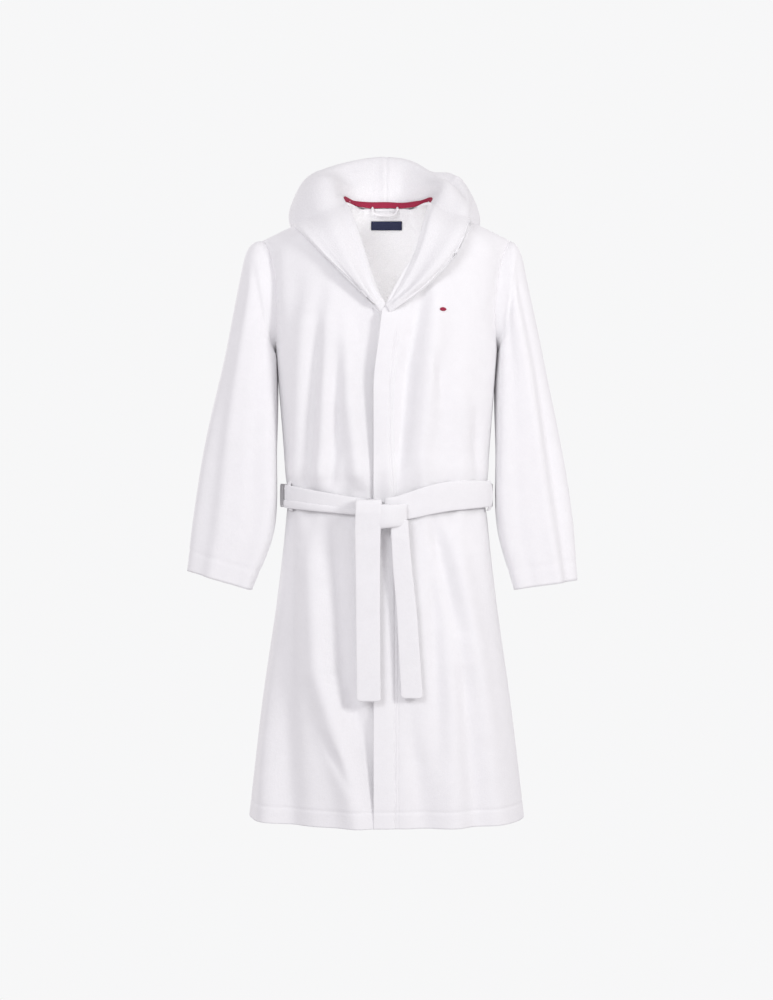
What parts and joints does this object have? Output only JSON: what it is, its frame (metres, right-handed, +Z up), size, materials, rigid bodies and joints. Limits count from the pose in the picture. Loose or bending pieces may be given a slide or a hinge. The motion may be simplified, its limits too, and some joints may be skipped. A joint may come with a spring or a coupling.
{
  "type": "hooded bathrobe",
  "caption": "Knee-length hooded towelling bathrobe, fronts crossed and belt tied, hood lowered, with long sleeves, a neck tape and a hanging loop.",
  "frame": {"origin": "middle of the back neck seam, where the hanging loop is sewn", "axes": "+Z up, the fronts face -Y, the wearer's left is +X"},
  "size_m": [0.7326, 0.3433, 1.2849],
  "materials": {
    "velour_towelling": "sheared cotton velour towelling",
    "hood_towelling": "cotton towelling, loops inside, velour outside",
    "belt_towelling": "cotton towelling, stitched edges",
    "neck_tape": "herringbone cotton tape",
    "loop_tape": "woven cotton tape",
    "woven_label": "plain woven label",
    "embroidery": "satin stitch"
  },
  "bodies": {
    "robe_body": {"back_panel": "velour_towelling", "right_front_bodice": "velour_towelling", "left_front_bodice": "velour_towelling", "right_front_skirt": "velour_towelling", "left_front_skirt_side": "velour_towelling", "right_front_band": "velour_towelling", "left_front_band_upper": "velour_towelling", "back_hem": "velour_towelling", "right_front_hem": "velour_towelling", "left_front_hem_side": "velour_towelling", "right_lapel": "hood_towelling", "left_lapel": "hood_towelling", "neck_tape": "neck_tape", "main_label": "woven_label", "size_tab": "woven_label", "chest_emblem": "embroidery", "belt_back_span": "belt_towelling", "belt_right_span": "belt_towelling", "belt_left_span": "belt_towelling", "belt_knot": "belt_towelling", "belt_loop_right": "belt_towelling", "belt_loop_left": "belt_towelling"},
    "hood": {"hood_right_half": "hood_towelling", "hood_left_half": "hood_towelling", "hood_edge_hem": "hood_towelling"},
    "right_sleeve": {"right_sleeve": "velour_towelling", "right_sleeve_hem": "velour_towelling"},
    "left_sleeve": {"left_sleeve": "velour_towelling", "left_sleeve_hem": "velour_towelling"},
    "front_corner": {"left_front_skirt_corner": "velour_towelling", "left_front_band_lower": "velour_towelling", "left_front_hem_corner": "velour_towelling"},
    "belt_right_end": {"belt_right_end": "belt_towelling"},
    "belt_left_end": {"belt_left_end": "belt_towelling"},
    "hanging_loop": {"hanging_loop": "loop_tape"}
  },
  "joints": [
    {"name": "hood_raise", "type": "hinge", "parent": "robe_body", "child": "hood", "pos_m": [0, -0.07, 0.005], "axis": [1, 0, 0], "range_deg": [0, 70]},
    {"name": "right_sleeve_lift", "type": "hinge", "parent": "robe_body", "child": "right_sleeve", "pos_m": [-0.24, -0.07, -0.078], "axis": [0, 1, 0], "range_deg": [0, 75]},
    {"name": "left_sleeve_lift", "type": "hinge", "parent": "robe_body", "child": "left_sleeve", "pos_m": [0.24, -0.07, -0.078], "axis": [0, -1, 0], "range_deg": [0, 75]},
    {"name": "front_open", "type": "hinge", "parent": "robe_body", "child": "front_corner", "pos_m": [-0.015, -0.212, -0.7], "axis": [-0.3779, -0.0113, 0.9258], "range_deg": [0, 60]},
    {"name": "belt_left_end_swing", "type": "hinge", "parent": "robe_body", "child": "belt_left_end", "pos_m": [0.017, -0.224, -0.644], "axis": [-1, 0, 0], "range_deg": [0, 27]},
    {"name": "belt_right_end_swing", "type": "hinge", "parent": "robe_body", "child": "belt_right_end", "pos_m": [-0.039, -0.224, -0.618], "axis": [-1, 0, 0], "range_deg": [0, 70]},
    {"name": "loop_flip", "type": "hinge", "parent": "robe_body", "child": "hanging_loop", "pos_m": [-0.003, -0.0095, -0.005], "axis": [-1, 0, 0], "range_deg": [0, 165]}
  ],
  "couplings": [
    {"joint": "belt_left_end_swing", "follows": "front_open", "ratio": 0.45}
  ]
}
